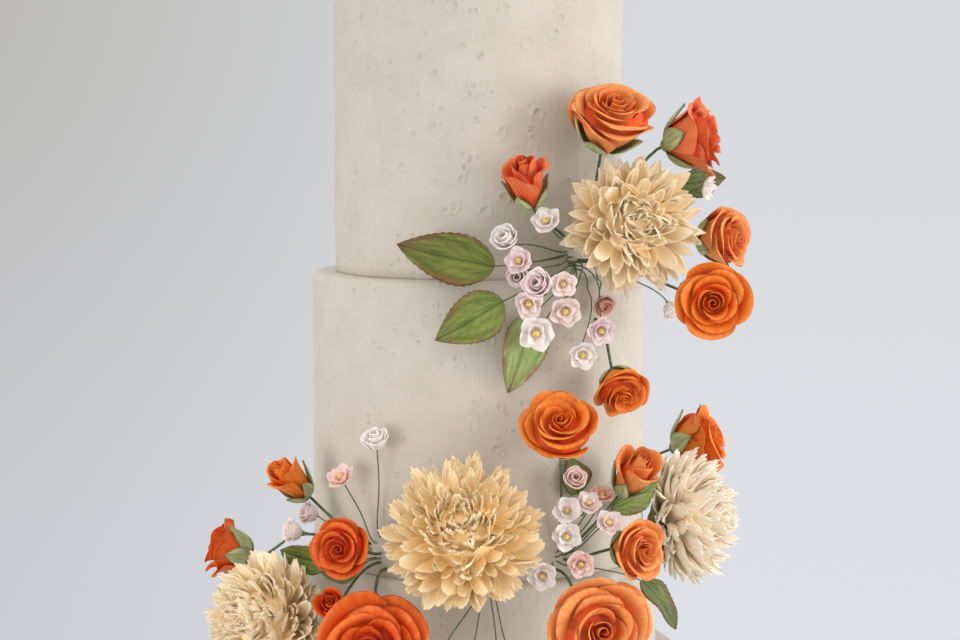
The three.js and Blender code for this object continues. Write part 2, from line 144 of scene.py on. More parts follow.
# ---- Leaves: where the foot and the tip are, the width across, hub and look.
LEAVES = (
    ("leaf_a", (5, 375, 100), (-25, 386, 100), 28, "upper", "olive"),
    ("leaf_b", (7.2, 357.5, 104), (-12, 337, 106), 27, "upper", "green"),
    ("leaf_c", (16.5, 349, 98), (9, 309, 100), 25, "upper", "light"),
    ("leaf_d", (66, 416, 118), (74, 419, 140), 17, "upper", "dark"),
    ("leaf_e", (33.8, 252.5, 95.3), (30, 273.5, 95.3), 18, (36, 240), "green"),
    ("leaf_f", (44, 243, 103), (64, 255, 110), 16, "right", "green"),
    ("leaf_g", (-44, 215, 112), (-63, 217, 121), 16, "left", "green"),
    ("leaf_h", (-35, 212, 112), (-45, 211, 118), 11, "left", "dark"),
    ("leaf_i", (51, 204, 113), (55, 178, 130), 17, "right", "dark"),
)


# ---- Places and directions, in millimetres.
def place(around, height, reach):
    angle = radians(around)
    return Vector((reach * sin(angle), -reach * cos(angle), height))


def direction(turn, lift):
    return place(turn, sin(radians(lift)), cos(radians(lift)))


def flower_place(flower, roll=0.0):
    """The matrix from a flower's own frame, +Z being where it faces, to the cake's."""
    spin = UP.rotation_difference(direction(flower.turn, flower.lift)).to_matrix().to_4x4()
    return Matrix.Translation(place(*flower.at)) @ spin @ Matrix.Rotation(roll, 4, "Z")


def tier_size(name):
    """A tier's radius, foot and top."""
    low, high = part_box(name)
    return high.x / MM, low.z / MM, high.z / MM


TIER_SIZES = [tier_size(name) for name in TIERS]


def bezier(points, t):
    """A point, and the way there, on the cubic curve of four control points."""
    a, b, c, d = points
    s = 1 - t
    point = a * s**3 + b * (3 * s * s * t) + c * (3 * s * t * t) + d * t**3
    way = (b - a) * (3 * s * s) + (c - b) * (6 * s * t) + (d - c) * (3 * t * t)
    return point, way.normalized()


def stem_route(start, back, run, hub, at):
    """A stem's control points: straight back from the flower, then into the cake's side."""
    if isinstance(hub, str):
        around, height = (h + GATHER * (own - h) for h, own in zip(HUBS[hub], at))
    else:
        around, height = hub
    tier = next(i for i, size in enumerate(TIER_SIZES) if height < size[2])
    wall = TIER_SIZES[tier][0] + GAP
    bend = [around, height, wall + run]
    if tier > 0 and at[1] < TIER_SIZES[tier - 1][2] + LEDGE_ROOM:
        bend[1] += LEDGE_ROOM / 2
        bend[2] = TIER_SIZES[tier - 1][0] + 2 * LEDGE_ROOM
    return [start, start + back * run, place(*bend), place(around, height, wall - 2 * RELIEF)]


# ---- Meshes. draw(a, b), here and below, draws a random number from a to b by a part's own seed.
TAPE = 1                  # where a stem's material stands among those of its piece
BUTTON = 2                # and that of a blossom's yellow button


def new_mesh():
    bm = bmesh.new()
    bm.loops.layers.uv.verify()
    bm.verts.layers.float.new("tone")
    return bm


def paint(verts, material):
    """Gives all faces at some vertices the material of that number."""
    for face in {face for vert in verts for face in vert.link_faces}:
        face.material_index = material


def sheet(bm, across, along, tone=0.0):
    """A flat sheet's vertices, each with its place across, -1 to 1, and along, 0 to 1."""
    made = bmesh.ops.create_grid(bm, x_segments=across, y_segments=along, size=1, calc_uvs=True)
    layer = bm.verts.layers.float["tone"]
    for vert in made["verts"]:
        vert[layer] = tone
    return [(vert, vert.co.x, (vert.co.y + 1) / 2) for vert in made["verts"]]


def section_edges(bm, section):
    """The edges of half a section, from the axis and back to it."""
    verts = [bm.verts.new(point) for point in section]
    return [bm.edges.new(pair) for pair in zip(verts, verts[1:])]


def spin_section(bm, steps):
    """Spins all that a mesh has so far round the axis into a shut body."""
    bmesh.ops.spin(bm, geom=bm.verts[:] + bm.edges[:], axis=UP, cent=(0, 0, 0), dvec=(0, 0, 0),
                   angle=tau, steps=steps, use_merge=True)
    bmesh.ops.remove_doubles(bm, verts=bm.verts, dist=0.001)
    bmesh.ops.recalc_face_normals(bm, faces=bm.faces)


def swayed(route, t, sway, phase):
    """A point, and the way there, on a curve that wanders a little between its ends."""
    point, way = bezier(route, t)
    aside = way.orthogonal().normalized()
    other = way.cross(aside)
    swing = sway * sin(pi * t)
    return point + swing * (aside * sin(7 * t + phase) + other * cos(5 * t + 2 * phase)), way


def tube(bm, route, where, thickness, sides, steps, sway=0.0, phase=0.0):
    """A round stem with shut ends along a cubic curve, in the frame of the piece it is part of."""
    inside = where.inverted()
    route = [inside @ point for point in route]
    ring = bmesh.ops.create_circle(bm, cap_ends=True, radius=thickness / 2, segments=sides)["verts"]
    end = ring[0].link_faces[0]
    centre, way = bezier(route, 0)
    stand = UP.rotation_difference(way).to_matrix().to_4x4()
    bmesh.ops.transform(bm, verts=ring, matrix=Matrix.Translation(centre) @ stand)
    verts = ring[:]
    for step in range(1, steps + 1):
        grown = bmesh.ops.extrude_face_region(bm, geom=[end])["geom"]
        if step > 1:
            bmesh.ops.delete(bm, geom=[end], context="FACES_ONLY")
        ring = [part for part in grown if isinstance(part, bmesh.types.BMVert)]
        end = next(part for part in grown if isinstance(part, bmesh.types.BMFace))
        there, heading = swayed(route, step / steps, sway, phase)
        turn = way.rotation_difference(heading).to_matrix().to_4x4()
        move = Matrix.Translation(there) @ turn @ Matrix.Translation(-centre)
        bmesh.ops.transform(bm, verts=ring, matrix=move)
        centre, way = there, heading
        verts += ring
    paint(verts, TAPE)


def to_mesh(name, bm):
    mesh = bpy.data.meshes.new(name)
    bm.to_mesh(mesh)
    bm.free()
    return mesh


def new_object(name, data):
    made = bpy.data.objects.new(name, data)
    bpy.context.scene.collection.objects.link(made)
    return made


def finish_piece(name, bm, nodes, materials, where=None):
    """Puts a finished mesh in its place as a piece of the cake that stands for its solids."""
    if where:
        bmesh.ops.transform(bm, matrix=where, verts=bm.verts)
    bmesh.ops.scale(bm, vec=(MM, MM, MM), verts=bm.verts)
    for face in bm.faces:
        face.smooth = True
    mesh = to_mesh(name, bm)
    for material in materials:
        mesh.materials.append(material)
    piece = new_object(name, mesh)
    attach(piece, "root")
    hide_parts(*nodes)
    return piece


def thicken(piece, thickness, inside=0):
    """Gives the open sheets of a piece their thickness, and rounds them. Their inner side may
    take the material that stands so many places further on."""
    wall = piece.modifiers.new("thickness", "SOLIDIFY")
    wall.thickness = thickness * MM
    wall.offset = 0
    wall.material_offset = inside
    rounding = piece.modifiers.new("rounding", "SUBSURF")
    rounding.levels = rounding.render_levels = 1


# ---- Materials.
def tint(code):
    """The linear colour of a code such as 'e4783f'."""
    parts = [int(code[i:i + 2], 16) / 255 for i in (0, 2, 4)]
    return tuple(c / 12.92 if c <= 0.04045 else ((c + 0.055) / 1.055) ** 2.4 for c in parts) + (1.0,)


def add(tree, kind, inputs=None, **settings):
    """A new node, with its settings, and its inputs by name or number: a value, a colour's code
    or another node's output."""
    made = tree.nodes.new(kind)
    for key, value in settings.items():
        setattr(made, key, value)
    for key, value in (inputs or {}).items():
        if isinstance(value, bpy.types.NodeSocket):
            tree.links.new(value, made.inputs[key])
        else:
            made.inputs[key].default_value = tint(value) if isinstance(value, str) else value
    return made


def maths(operation, *values):
    tree = next(value.id_data for value in values if isinstance(value, bpy.types.NodeSocket))
    return add(tree, "ShaderNodeMath", dict(enumerate(values)), operation=operation).outputs[0]


def times(first, second):
    return maths("MULTIPLY", first, second)


def inverse(share):
    return maths("SUBTRACT", 1.0, share)


def ease(value, low, high):
    """0 below low and 1 above high, with a smooth change between them."""
    inputs = {"Value": value, "From Min": low, "From Max": high}
    return add(value.id_data, "ShaderNodeMapRange", inputs, interpolation_type="SMOOTHSTEP").outputs[0]


def mix(share, first, second):
    """A colour between two, by a share from 0 to 1."""
    inputs = {0: share, 6: first, 7: second}
    return add(share.id_data, "ShaderNodeMix", inputs, data_type="RGBA").outputs[2]


def dusted(color, where, share, code):
    """A colour with a share of another tint where a mask is."""
    return mix(times(where, share), color, code)


def own_place(tree):
    """The point on the object."""
    return add(tree, "ShaderNodeTexCoord").outputs["Object"]


def noise(where, scale, detail=2.0, roughness=0.5):
    inputs = {"Vector": where, "Scale": scale, "Detail": detail, "Roughness": roughness}
    return add(where.id_data, "ShaderNodeTexNoise", inputs).outputs["Fac"]


def new_group(name, inputs, outputs):
    """An empty node group, with its input and output nodes."""
    group = bpy.data.node_groups.new(name, "ShaderNodeTree")
    for label, value in inputs.items():
        socket = group.interface.new_socket(label, in_out="INPUT", socket_type="NodeSocketFloat")
        socket.default_value = value
    for label in outputs:
        group.interface.new_socket(label, in_out="OUTPUT", socket_type="NodeSocketFloat")
    return group, add(group, "NodeGroupInput"), add(group, "NodeGroupOutput")


RIM_WANDER = 260.0        # scales of the patterns on petals and leaves, per metre
PATCHES = 95.0
GRAIN = 1800.0
STROKE_ALONG = 2.2        # how often the pattern of brush strokes repeats along a petal
STROKE_APART = 37.0       # how far apart in that pattern two petals' own strokes are taken
MARKS = ("Along", "Side", "Rim", "Stroke", "Patch", "Tone")


def make_petal_marks():
    """Where a point is on its petal or leaf: how far along it, how near its rim, and in which
    brush stroke and patch of the dusted colour."""
    group, given, out = new_group("petal_marks", {"Strokes": 22.0, "Rim": 0.06}, MARKS)
    where = add(group, "ShaderNodeTexCoord")
    uv = add(group, "ShaderNodeSeparateXYZ", {0: where.outputs["UV"]})
    tone = add(group, "ShaderNodeAttribute", attribute_name="tone").outputs["Fac"]
    side = maths("ABSOLUTE", maths("MULTIPLY_ADD", uv.outputs[0], 2.0, -1.0))
    to_side = inverse(side)
    to_tip = inverse(uv.outputs[1])
    nearest = maths("MINIMUM", to_side, times(to_tip, 1.3))
    wander = times(noise(where.outputs["Object"], RIM_WANDER), given.outputs["Rim"])
    rim = inverse(ease(nearest, 0.0, times(wander, 2.0)))
    across = times(uv.outputs[0], given.outputs["Strokes"])
    along = times(uv.outputs[1], STROKE_ALONG)
    own = times(tone, STROKE_APART)
    stroke_at = add(group, "ShaderNodeCombineXYZ", {0: across, 1: along, 2: own}).outputs[0]
    stroke = ease(noise(stroke_at, 1.0, 3.0, 0.6), 0.36, 0.64)
    patch = ease(noise(where.outputs["Object"], PATCHES), 0.35, 0.65)
    for label, value in zip(MARKS, (uv.outputs[1], side, rim, stroke, patch, tone)):
        group.links.new(value, out.inputs[label])
    return group


def make_sugar_grain():
    """The fine grain of dusted sugar, as a height."""
    group, given, out = new_group("sugar_grain", {"Scale": GRAIN}, ("Height",))
    height = noise(own_place(group), given.outputs["Scale"], 3.0, 0.6)
    group.links.new(height, out.inputs["Height"])
    return group


petal_marks = make_petal_marks()
sugar_grain = make_sugar_grain()


def new_material(name):
    material = bpy.data.materials.new(name)
    material.use_nodes = True
    return material


def place_group(tree, group, **inputs):
    made = add(tree, "ShaderNodeGroup", node_tree=group)
    for label, value in inputs.items():
        made.inputs[label].default_value = value
    return made.outputs


def sugar_paste(name, strokes, rim):
    """A new material, with its petal marks and its grain."""
    material = new_material(name)
    marks = place_group(material.node_tree, petal_marks, Strokes=strokes, Rim=rim)
    return material, marks, place_group(material.node_tree, sugar_grain)["Height"]


def finish_surface(material, color, height, bump, roughness, glow, glow_depth, radius):
    """The material, with its colour and bump, and what is the same all over the surface."""
    tree = material.node_tree
    raised = add(tree, "ShaderNodeBump", {"Height": height, "Strength": 1.0, "Distance": bump * MM})
    shader = tree.nodes["Principled BSDF"]
    tree.links.new(color, shader.inputs["Base Color"])
    tree.links.new(raised.outputs[0], shader.inputs["Normal"])
    settings = {"Roughness": roughness, "Specular IOR Level": 0.3, "Subsurface Weight": glow,
                "Subsurface Scale": glow_depth * MM, "Subsurface Radius": radius}
    for label, value in settings.items():
        shader.inputs[label].default_value = value
    return material


def petal_material(name, deep, body, light, rim, strokes, deep_until=0.5, light_from=0.45,
                   rim_share=0.45, stroke_share=0.5, rim_width=0.05, glow=0.4, glow_depth=3.0,
                   spread=(1.0, 0.6, 0.4)):
    """Dusted sugar paste: deep at the petal's foot, light towards its lip, brushed with fine
    strokes of colour, and with a thin darker line along parts of the rim. A petal's own tone
    makes all of it deeper or lighter."""
    material, marks, grain = sugar_paste(name, strokes, rim_width)
    along, tone = marks["Along"], marks["Tone"]
    color = mix(ease(along, 0.0, deep_until), deep, body)
    color = dusted(color, ease(along, light_from, 0.95), 0.85, light)
    color = dusted(color, marks["Patch"], 0.35, light)
    color = dusted(color, marks["Stroke"], stroke_share, body)
    color = dusted(color, ease(tone, 0.0, 1.0), 0.7, deep)
    color = dusted(color, ease(times(tone, -1.0), 0.0, 1.0), 0.6, light)
    lined = times(marks["Rim"], ease(marks["Patch"], 0.2, 0.9))
    color = dusted(color, lined, rim_share, rim)
    height = maths("MULTIPLY_ADD", grain, 0.35, marks["Stroke"])
    return finish_surface(material, color, height, 0.12, 0.6, glow, glow_depth, spread)


ROSE_STROKES = 20.0
DAHLIA_STROKES = 9.0
BLOSSOM_STROKES = 12.0


def rose_look(name, deep, body, light, rim):
    """The outer side of a rose's petals, paler and yellower, and their deeper inner side."""
    same = {"rim_share": 0.65, "stroke_share": 0.75, "rim_width": 0.045, "glow": 0.15, "glow_depth": 2.0,
            "spread": WARM_SPREAD}
    outer = petal_material(name + "_rose_petal_back", body, body, light, rim, ROSE_STROKES,
                           light_from=0.15, **same)
    inner = petal_material(name + "_rose_petal_face", deep, body, light, rim, ROSE_STROKES,
                           deep_until=0.8, light_from=0.68, **same)
    return outer, inner


def dahlia_look(name, deep, body, light, rim):
    """A dahlia's petals, and the even tint of the core that they stand on."""
    same = {"rim_share": 0.3, "stroke_share": 0.35, "glow": 0.05, "glow_depth": 1.0}
    return [petal_material(name + part, foot, body, light, rim, DAHLIA_STROKES, **same)
            for part, foot in (("_dahlia_petal", deep), ("_dahlia_core", body))]


def blossom_look(name, *tints):
    return petal_material(name + "_blossom_petal", *tints, BLOSSOM_STROKES, spread=PALE_SPREAD)


GREEN_SPREAD = (0.5, 1.0, 0.3)     # how far each colour of light spreads inside green sugar


def green_material(name, body, light, edge, edge_share):
    """Dusted green sugar paste that turns to the edge's colour towards the rim and the tip."""
    material, marks, grain = sugar_paste(name, 12.0, 0.16)
    color = mix(marks["Stroke"], body, light)
    near_rim = maths("ADD", marks["Side"], times(marks["Along"], 0.25))
    worn = times(ease(near_rim, 0.62, 1.15), marks["Patch"])
    color = dusted(color, worn, edge_share, edge)
    color = dusted(color, marks["Rim"], edge_share, edge)
    height = maths("MULTIPLY_ADD", grain, 0.4, marks["Stroke"])
    return finish_surface(material, color, height, 0.15, 0.6, 0.12, 2.0, GREEN_SPREAD)


SIDE_VEINS = 7.0
VEIN_SLANT = 2.6


def leaf_look(name, body, light, edge, vein):
    """A green leaf with a midrib and side veins, and worn brown-red edges."""
    material, marks, grain = sugar_paste("leaf_" + name, 9.0, 0.14)
    along, side = marks["Along"], marks["Side"]
    color = mix(marks["Stroke"], body, light)
    color = dusted(color, marks["Patch"], 0.35, light)
    ribs = maths("SUBTRACT", times(along, SIDE_VEINS), times(side, VEIN_SLANT))
    off_rib = maths("ABSOLUTE", maths("SUBTRACT", maths("FRACT", ribs), 0.5))
    midrib = inverse(ease(side, 0.02, 0.09))
    veins = maths("MAXIMUM", times(ease(off_rib, 0.4, 0.5), 0.45), midrib)
    color = dusted(color, veins, 0.5, vein)
    near_rim = maths("ADD", side, times(along, 0.3))
    tip = times(ease(along, 0.55, 1.0), 0.8)
    worn = maths("MAXIMUM", ease(near_rim, 0.62, 1.15), tip)
    worn = times(worn, ease(marks["Patch"], 0.0, 0.9))
    color = dusted(color, worn, 0.8, edge)
    color = dusted(color, marks["Rim"], 0.8, edge)
    height = maths("SUBTRACT", times(grain, 0.3), veins)
    return finish_surface(material, color, height, 0.35, 0.55, 0.12, 2.0, GREEN_SPREAD)


def icing_material():
    """Matt ivory icing, a little mottled, with soft lumps, small rings and a fine grain."""
    material = new_material("ivory_icing")
    where = own_place(material.node_tree)
    grain = place_group(material.node_tree, sugar_grain, Scale=GRAIN / 2)["Height"]
    mottle = ease(noise(where, 38.0, 4.0, 0.6), 0.3, 0.7)
    color = mix(mottle, "c3baad", "cac1b5")
    rings = maths("ADD", small_rings(where, 140.0), small_rings(where, 260.0))
    rings = times(rings, ease(noise(where, 34.0), 0.42, 0.62))
    lumps = times(noise(where, 190.0, 3.0, 0.55), 0.9)
    height = maths("ADD", maths("MULTIPLY_ADD", grain, 0.25, lumps), rings)
    return finish_surface(material, color, height, 0.28, 0.7, 0.15, 4.0, (1.0, 0.7, 0.45))


def small_rings(where, scale):
    """Small round pits with a raised rim, in some cells of a random pattern."""
    tree = where.id_data
    cells = add(tree, "ShaderNodeTexVoronoi", {"Vector": where, "Scale": scale, "Randomness": 1.0}).outputs
    own = add(tree, "ShaderNodeSeparateColor", {0: cells["Color"]}).outputs
    there = ease(own[0], 0.72, 0.76)
    radius = maths("MULTIPLY_ADD", own[1], 0.12, 0.16)
    off = maths("SUBTRACT", cells["Distance"], radius)
    rim = inverse(ease(maths("ABSOLUTE", off), 0.0, 0.09))
    bowl = times(inverse(ease(off, -0.12, 0.0)), -0.3)
    return times(maths("ADD", rim, bowl), there)


def grainy_material(name, dark, light, scale, detail, low, high, *surface):
    """Two tints that change with a fine noise, which is the bump too."""
    material = new_material(name)
    grains = noise(own_place(material.node_tree), scale, detail)
    color = mix(ease(grains, low, high), dark, light)
    return finish_surface(material, color, grains, *surface)


def heart_material():
    """The yellow button of a blossom, rough with pollen."""
    return grainy_material("yellow_heart", "cfa548", "f0da84", 1500.0, 2.0, 0.4, 0.6,
                           0.4, 0.75, 0.1, 1.0, (1.0, 0.8, 0.3))


def wire_material(name, dark, light):
    """Floral tape round a wire."""
    return grainy_material(name, dark, light, 700.0, 3.0, 0.35, 0.65, 0.15, 0.6, 0.0, 1.0, (1.0, 1.0, 1.0))


def looks(make, tints):
    """A look for each name in a table of tints."""
    return {name: make(name, *codes) for name, codes in tints.items()}


PALE_SPREAD = (1.0, 0.92, 0.8)     # how far each colour of light spreads inside pale sugar
WARM_SPREAD = (1.0, 0.5, 0.3)      # and inside orange sugar
ICING = icing_material()
HEART = heart_material()
# The tints of petals: deep, body, light and rim.
ROSE_LOOKS = looks(rose_look, {
    "peach": ("e84606", "e47c36", "e89e5e", "a83a12"),
    "orange": ("e63600", "e46810", "e88c38", "a0340a"),
    "coral": ("da2802", "dc4c18", "e48654", "982010"),
    "deep": ("da2200", "dc4404", "e47a30", "902406"),
})
DAHLIA_LOOKS = looks(dahlia_look, {
    "cream": ("ffb866", "ffdda2", "ffeecc", "ffe2b4"),
    "light": ("ffc888", "ffe4b6", "fff2d8", "ffe8c2"),
    "pale": ("ffe0b8", "ffecd0", "fff5e4", "fff0da"),
})
BLOSSOM_LOOKS = looks(blossom_look, {
    "white": ("f6e2cc", "fdf1ea", "fffaf6", "eac2c2"),
    "blush": ("f6cdb8", "fde2da", "fff3ee", "e0a3a6"),
    "pink": ("f6aa92", "fdcec2", "ffe8e2", "de8c8c"),
    "lilac": ("dcaea4", "f6d8d6", "fff0ee", "c08a9c"),
    "coral": ("f47a5c", "fcae98", "ffd8ca", "dc6c5e"),
})
SEPAL = green_material("sepal_green", "8f9c66", "b9c390", "8a6a4c", 0.4)
BLOSSOM_GREEN = green_material("blossom_calyx_green", "7f9460", "97a877", "7f9460", 0.1)
# The tints of leaves: body, light, edge and vein.
LEAF_LOOKS = looks(leaf_look, {
    "olive": ("4e581e", "777e35", "6e3e28", "434e1f"),
    "green": ("5a6a28", "818e44", "7a4a34", "4b5c26"),
    "light": ("7c904d", "a5b374", "875a42", "67793f"),
    "dark": ("525f33", "75804c", "6f4a36", "46522d"),
})
STEM_GREEN = wire_material("stem_tape", "46563a", "6b7d54")
WIRE_GREEN = wire_material("fine_wire_tape", "44553a", "6a7c54")


# ---- Icing: each tier is turned from half a section, and its marks are pressed and raised.
# A mark is a round pit with a raised rim: its middle, radius, the heights of rim and pit, and
# the phase of its uneven outline.
Mark = namedtuple("Mark", "across up radius ring pit phase")

# Marks that stand out at the front, as (degrees round from the front, height, radius).
KNOWN_MARKS = {
    "tier_top": (
        (19, 491, 3.9), (-10, 510, 4.7), (10, 509, 2.9), (23, 454, 3.4), (9, 444, 3.1),
        (-16, 475, 2.1), (-22, 484, 2.1), (-9, 405, 3.7), (-12, 403, 2.6), (3, 403, 3.4),
        (10, 410, 3.1), (-30, 426, 2.9), (-17, 448, 2.4), (-25, 444, 1.8), (-6, 420, 2.6),
        (-5, 425, 2.1), (-5, 432, 3.1), (-6, 489, 2.1), (1, 485, 2.3), (-1, 507, 1.8),
        (30, 496, 3.2), (33, 504, 2.6), (-2, 468, 2.9), (3, 469, 2.6), (1, 463, 2.9),
        (5, 465, 1.8), (-3, 464, 1.8),
    ),
    "tier_second": (
        (6, 279, 2.4), (-6, 322, 2.6), (-4, 319, 2.1), (-7, 326, 2.1), (-1, 303, 2.1),
        (1, 305, 1.6), (-3, 299, 1.6), (-14, 354, 1.8), (7, 301, 2.4), (-36, 333, 2.6),
        (-33, 330, 1.9), (3, 357, 2.1), (-28, 340, 1.6), (-22, 339, 1.6), (-10, 348, 2.1),
    ),
}
RING_AREA = {"tier_bottom": 600, "tier_third": 600, "tier_second": 600, "tier_top": 420}
PIT_AREA = {"tier_bottom": 120, "tier_third": 120, "tier_second": 110, "tier_top": 60}
EDGE_STEPS = 6            # mesh steps round a tier's top edge
FOOT_STEPS = 6            # and from the axis to its wall, underneath
FOOT_BAND = 2             # the relief fades out over this height above a tier's foot


def scatter_marks(width, low, high, name, draw):
    """Random marks over a band of icing: rings, and small pits, one for so much area."""
    area = width * (high - low)
    rings = [Mark(draw(0, width), draw(low, high), draw(1.6, 3.6), draw(0.2, 0.5), draw(0.05, 0.35),
                  draw(0, tau)) for _ in range(round(area / RING_AREA[name]))]
    pits = [Mark(draw(0, width), draw(low, high), draw(0.9, 1.6), 0.05, draw(0.2, 0.45),
                 draw(0, tau)) for _ in range(round(area / PIT_AREA[name]))]
    return rings + pits


def relief(across, up, marks, width):
    """How far the icing stands out at each point, from its marks and its soft unevenness."""
    height = 0.1 * np.sin(across * 0.11 + 1.3) * np.sin(up * 0.09) + 0.06 * np.sin(across * 0.31 + up * 0.23)
    for mark in marks:
        off = np.abs(across - mark.across)
        off = np.minimum(off, width - off)
        near = np.flatnonzero((off < 2 * mark.radius) & (np.abs(up - mark.up) < 2 * mark.radius))
        x = across[near] - mark.across
        x = (x + width / 2) % width - width / 2
        y = up[near] - mark.up
        angle = np.arctan2(y, x)
        uneven = 0.16 * np.sin(2 * angle + mark.phase) + 0.1 * np.sin(3 * angle + 2 * mark.phase)
        share = np.hypot(x, y) / (mark.radius * (1 + uneven))
        rim = np.exp(-(((share - 0.85) * mark.radius / 0.5) ** 2))
        height[near] += mark.ring * rim - mark.pit * np.exp(-((share / 0.6) ** 4))
    return np.minimum(height, RELIEF)


def tier_section(radius, foot, top):
    """Half of a tier's section, from the axis under it to the axis on top."""
    corners = [(0, 0, foot), (radius, 0, foot), (radius, 0, top - EDGE_ROUND)]
    for step in range(1, EDGE_STEPS + 1):
        angle = pi / 2 * step / EDGE_STEPS
        corners.append((radius - EDGE_ROUND * (1 - cos(angle)), 0,
                        top - EDGE_ROUND * (1 - sin(angle))))
    return corners + [(0, 0, top)]


def turned_tier(radius, foot, top, cell):
    """A tier's smooth body: half its section, spun round the axis, and closer at the front."""
    bm = new_mesh()
    edges = section_edges(bm, tier_section(radius, foot, top))
    wall_cells = round((top - foot - EDGE_ROUND) / cell)
    cuts = {0: FOOT_STEPS, 1: wall_cells, len(edges) - 1: round(radius / (2.4 * cell))}
    for index, count in cuts.items():
        bmesh.ops.subdivide_edges(bm, edges=[edges[index]], cuts=count - 1)
    spin_section(bm, round(tau * radius / cell))
    for vert in bm.verts:
        angle = atan2(vert.co.x, -vert.co.y)
        vert.co = Matrix.Rotation(-FRONT_SHARE * sin(angle), 3, "Z") @ vert.co
    return bm


def wall_marks(name, radius, foot, top, draw):
    """The marks round a tier's wall: random ones, and then those that stand out."""
    marks = scatter_marks(tau * radius, foot, top, name, draw)
    for around, height, reach in KNOWN_MARKS.get(name, ()):
        at = radians(around) % tau * radius
        marks.append(Mark(at, height, reach, 0.75, 0.35, draw(0, tau)))
    return marks


def iced(points, name, radius, foot, top, draw):
    """A tier's points with its marks: on the wall they stand out from the axis, on top they rise."""
    x, y, z = points.T
    reach = np.hypot(x, y)
    across = (np.arctan2(x, -y) % tau) * radius
    wall = np.clip((reach - (radius - EDGE_ROUND)) / EDGE_ROUND, 0, 1)
    wall *= np.clip((z - foot) / FOOT_BAND, 0, 1)
    out = relief(across, z, wall_marks(name, radius, foot, top, draw), tau * radius) * wall
    top_marks = scatter_marks(2 * radius, -radius, radius, name, draw)
    flat = np.clip((z - (top - RELIEF - 1)), 0, 1) * (1 - wall)
    rise = relief(x + radius, y, top_marks, 2 * radius) * flat
    scale = 1 + out / np.maximum(reach, 1)
    return np.column_stack((x * scale, y * scale, z + rise))


def make_tier(name, size, foot, seed):
    full, _, top = size
    radius = full - RELIEF
    bm = turned_tier(radius, foot, top - RELIEF, CELL[name])
    piece = finish_piece(name + "_icing", bm, [name], [ICING])
    points = np.empty(3 * len(piece.data.vertices))
    piece.data.vertices.foreach_get("co", points)
    points = iced(points.reshape(-1, 3) / MM, name, radius, foot, top, random.Random(seed).uniform)
    piece.data.vertices.foreach_set("co", (points * MM).ravel())
    piece.data.update()


# ---- Roses: a rolled heart, and rings of petals that wrap it and open outwards. A ring says how
# many petals it has, how many degrees each goes to both sides, how far out it bellies and ends,
# how high it ends, the belly's share of that height, how far the lip rolls out, and its tone:
# above 0 deeper, below 0 lighter. Reaches are shares of the radius, and heights of the depth.
Ring = namedtuple("Ring", "petals width belly lip height bend roll tone")
# depth is a share of the size, heart the reach of the rolled heart, and shoulder says how much
# lower a petal ends at its sides.
Rose = namedtuple("Rose", "depth heart turns shoulder rings")
ROSE_FORMS = {
    "open": Rose(0.72, 0.15, 1.6, 0.34, (
        Ring(2, 104, 0.19, 0.21, 0.99, 0.90, 0.00, 0.35), Ring(3, 78, 0.25, 0.33, 0.98, 0.98, 0.03, 0.20),
        Ring(3, 78, 0.33, 0.46, 0.96, 1.02, 0.06, 0.05), Ring(3, 77, 0.43, 0.61, 0.92, 1.06, 0.09, -0.10),
        Ring(3, 76, 0.56, 0.78, 0.86, 1.12, 0.12, -0.25), Ring(4, 60, 0.71, 0.97, 0.75, 1.18, 0.13, -0.40))),
    "cup": Rose(0.72, 0.17, 1.6, 0.34, (
        Ring(2, 104, 0.22, 0.25, 0.99, 0.90, 0.00, 0.35), Ring(3, 78, 0.30, 0.40, 0.97, 1.00, 0.04, 0.15),
        Ring(3, 78, 0.40, 0.57, 0.94, 1.05, 0.08, 0.00), Ring(3, 77, 0.53, 0.74, 0.88, 1.10, 0.11, -0.20),
        Ring(4, 60, 0.70, 0.94, 0.76, 1.16, 0.13, -0.40))),
    "bud": Rose(1.2, 0.20, 1.6, 0.42, (
        Ring(2, 120, 0.36, 0.26, 0.99, 0.84, 0.00, 0.25), Ring(2, 100, 0.50, 0.42, 0.96, 0.97, 0.04, 0.05),
        Ring(3, 72, 0.66, 0.86, 0.88, 1.04, 0.18, -0.20))),
}
LAP = 0.07                # how far a petal's one side lies over its neighbour
OFF_CENTRE = 0.06         # how far off the middle a rose's heart is
STRAY = 0.045             # how far each petal's own middle strays from the flower's
SUNK = 0.27               # how far a rose's solid core lies under the lips of its petals
REACH_LIMIT = 0.985       # how much of its radius a rose's petals may take up
HEIGHT_LIMIT = 0.97       # how much of its depth they may take up where it is tilted
DOME = 0.16               # how much lower its petals end at its rim than at its middle
PETAL_CELLS = (10, 8)     # mesh cells across a petal, and along it
FREE_FROM = 0.55          # where along its length a petal comes free of the flower
CORE_CELLS = 24           # mesh cells round the solid core of a rose or dahlia


def leaned(x, y, radius, aside, share):
    """A point of a flower, moved as far aside as its share of the height asks."""
    return radius * (x + aside.x * share), radius * (y + aside.y * share)


def rolled_heart(bm, radius, depth, form, aside, draw):
    """A strip rolled up into the spiral in the middle of a rose."""
    phase = draw(0, tau)
    for vert, a, t in sheet(bm, round(14 * form.turns), 6, tone=0.5):
        out = (a + 1) / 2
        angle = phase + tau * form.turns * out
        reach = form.heart * (0.12 + 0.88 * out) * (0.75 + 0.25 * sin(pi * min(1, t * 0.8)))
        reach += 0.04 * t**4 * (0.3 + out)
        top = 0.985 - 0.05 * out + 0.015 * sin(2 * angle + phase)
        x, y = leaned(reach * cos(angle), reach * sin(angle), radius, aside, t)
        vert.co = (x, y, depth * (0.15 + (top - 0.15) * t - 0.5))


